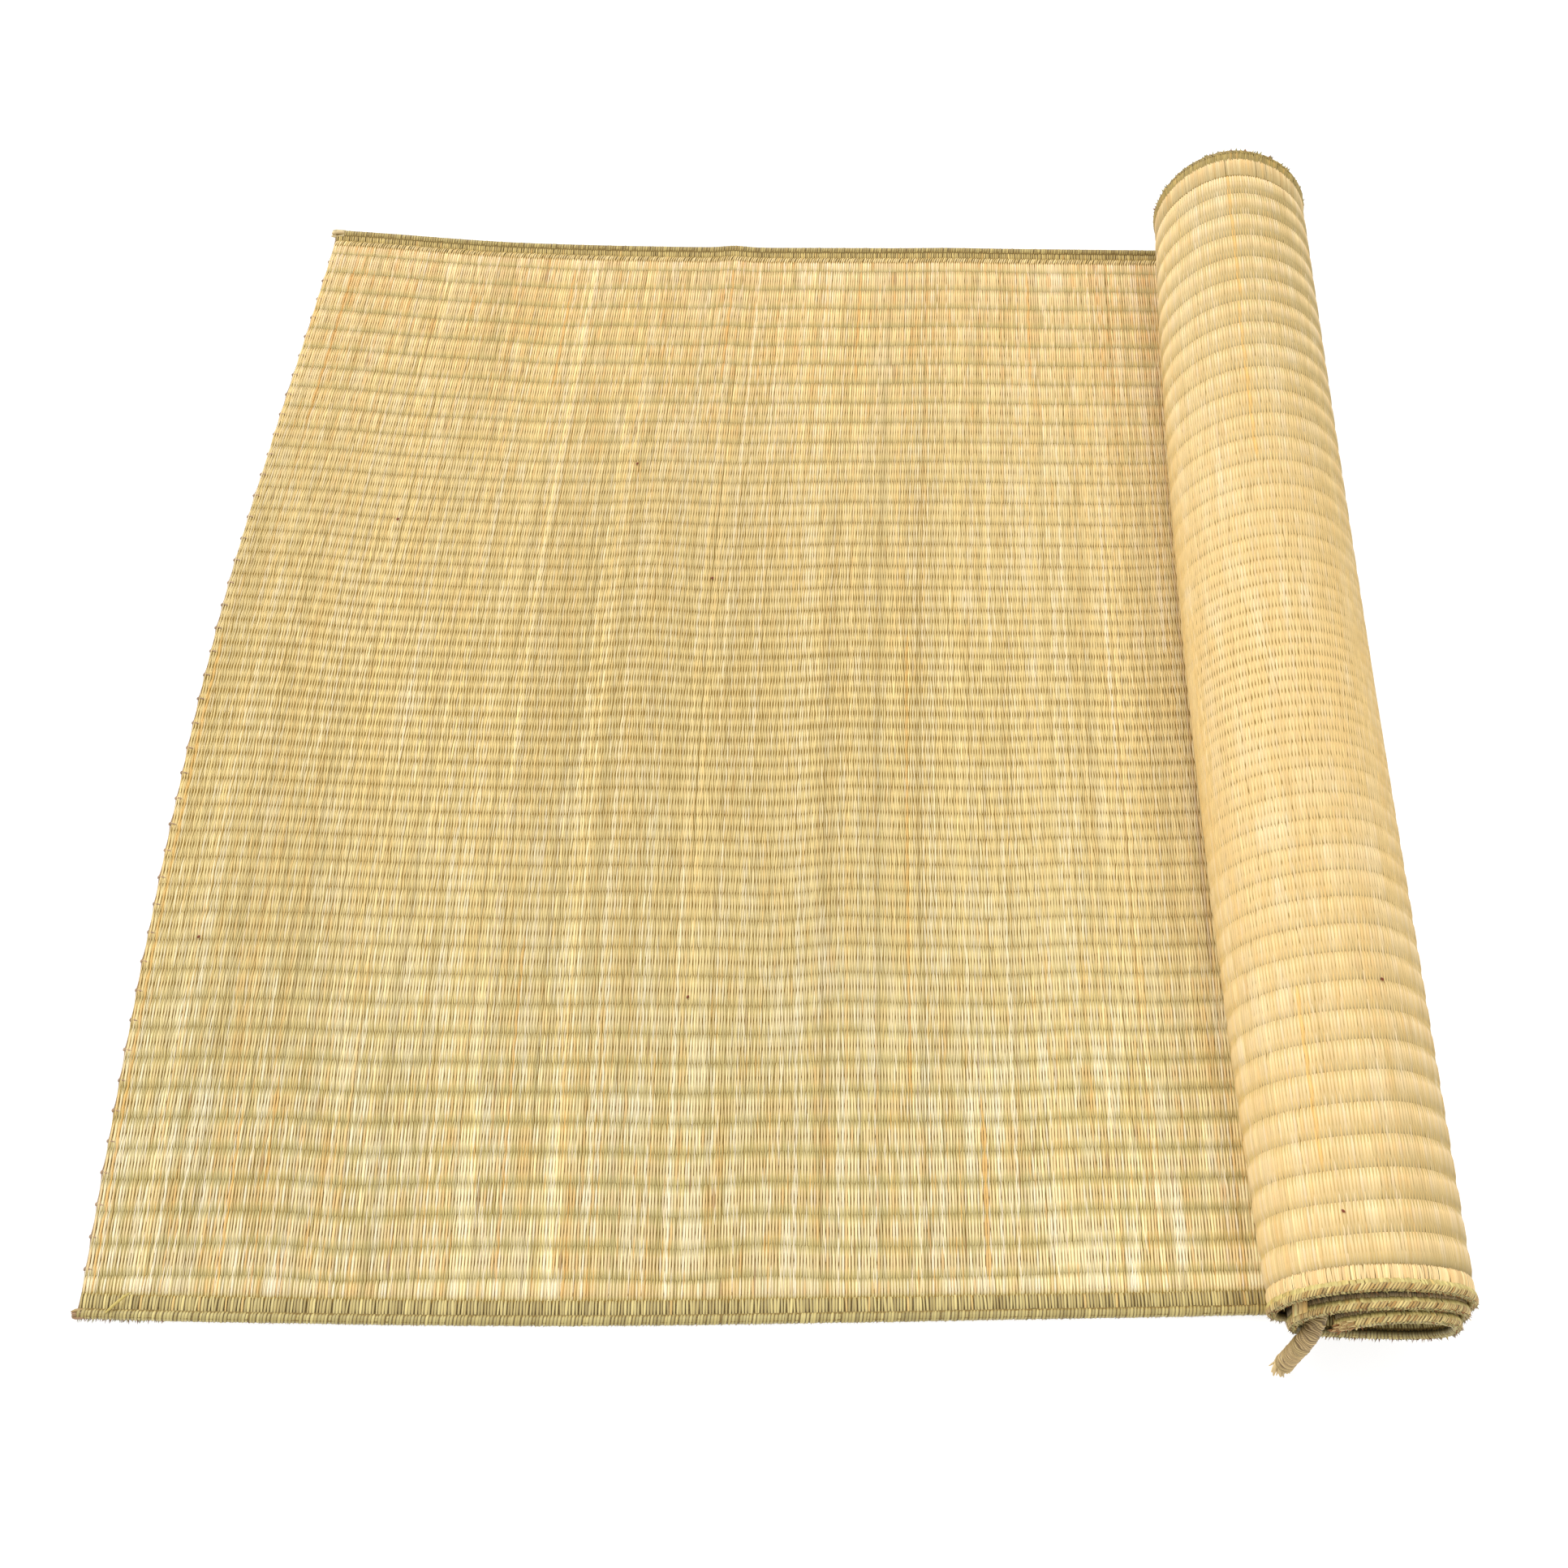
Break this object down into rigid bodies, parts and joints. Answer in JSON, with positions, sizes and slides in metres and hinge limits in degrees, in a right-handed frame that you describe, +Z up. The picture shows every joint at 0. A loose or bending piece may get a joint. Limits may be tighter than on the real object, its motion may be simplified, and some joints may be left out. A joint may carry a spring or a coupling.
{
  "type": "grass floor mat",
  "caption": "Woven grass floor mat lying flat, with one end wound into a loose roll and a wrapped rope tie at its inner corner.",
  "frame": {"origin": "on the surface that the mat lies on, under the middle of the box of the mat, its hem cords and its edge string", "axes": "+Y along the grass stems, from the near hem to the far hem; +X along the mat's length, from its flat end towards the roll; +Z up"},
  "size_m": [0.8156, 0.9373, 0.1156],
  "materials": {
    "grass": "dry split grass stems, pale straw with cream, orange and olive stems, satin",
    "hem_cord": "twisted olive grass cord, matt",
    "string": "thin twisted twine, matt",
    "tie": "wrapped beige grass fibre, matt, frayed at its end"
  },
  "bodies": {
    "root": {"mat": "grass", "hem_cord_near": "hem_cord", "hem_cord_far": "hem_cord", "edge_string": "string", "tie_rope": "tie", "tie_rope_tip": "tie"}
  },
  "joints": []
}
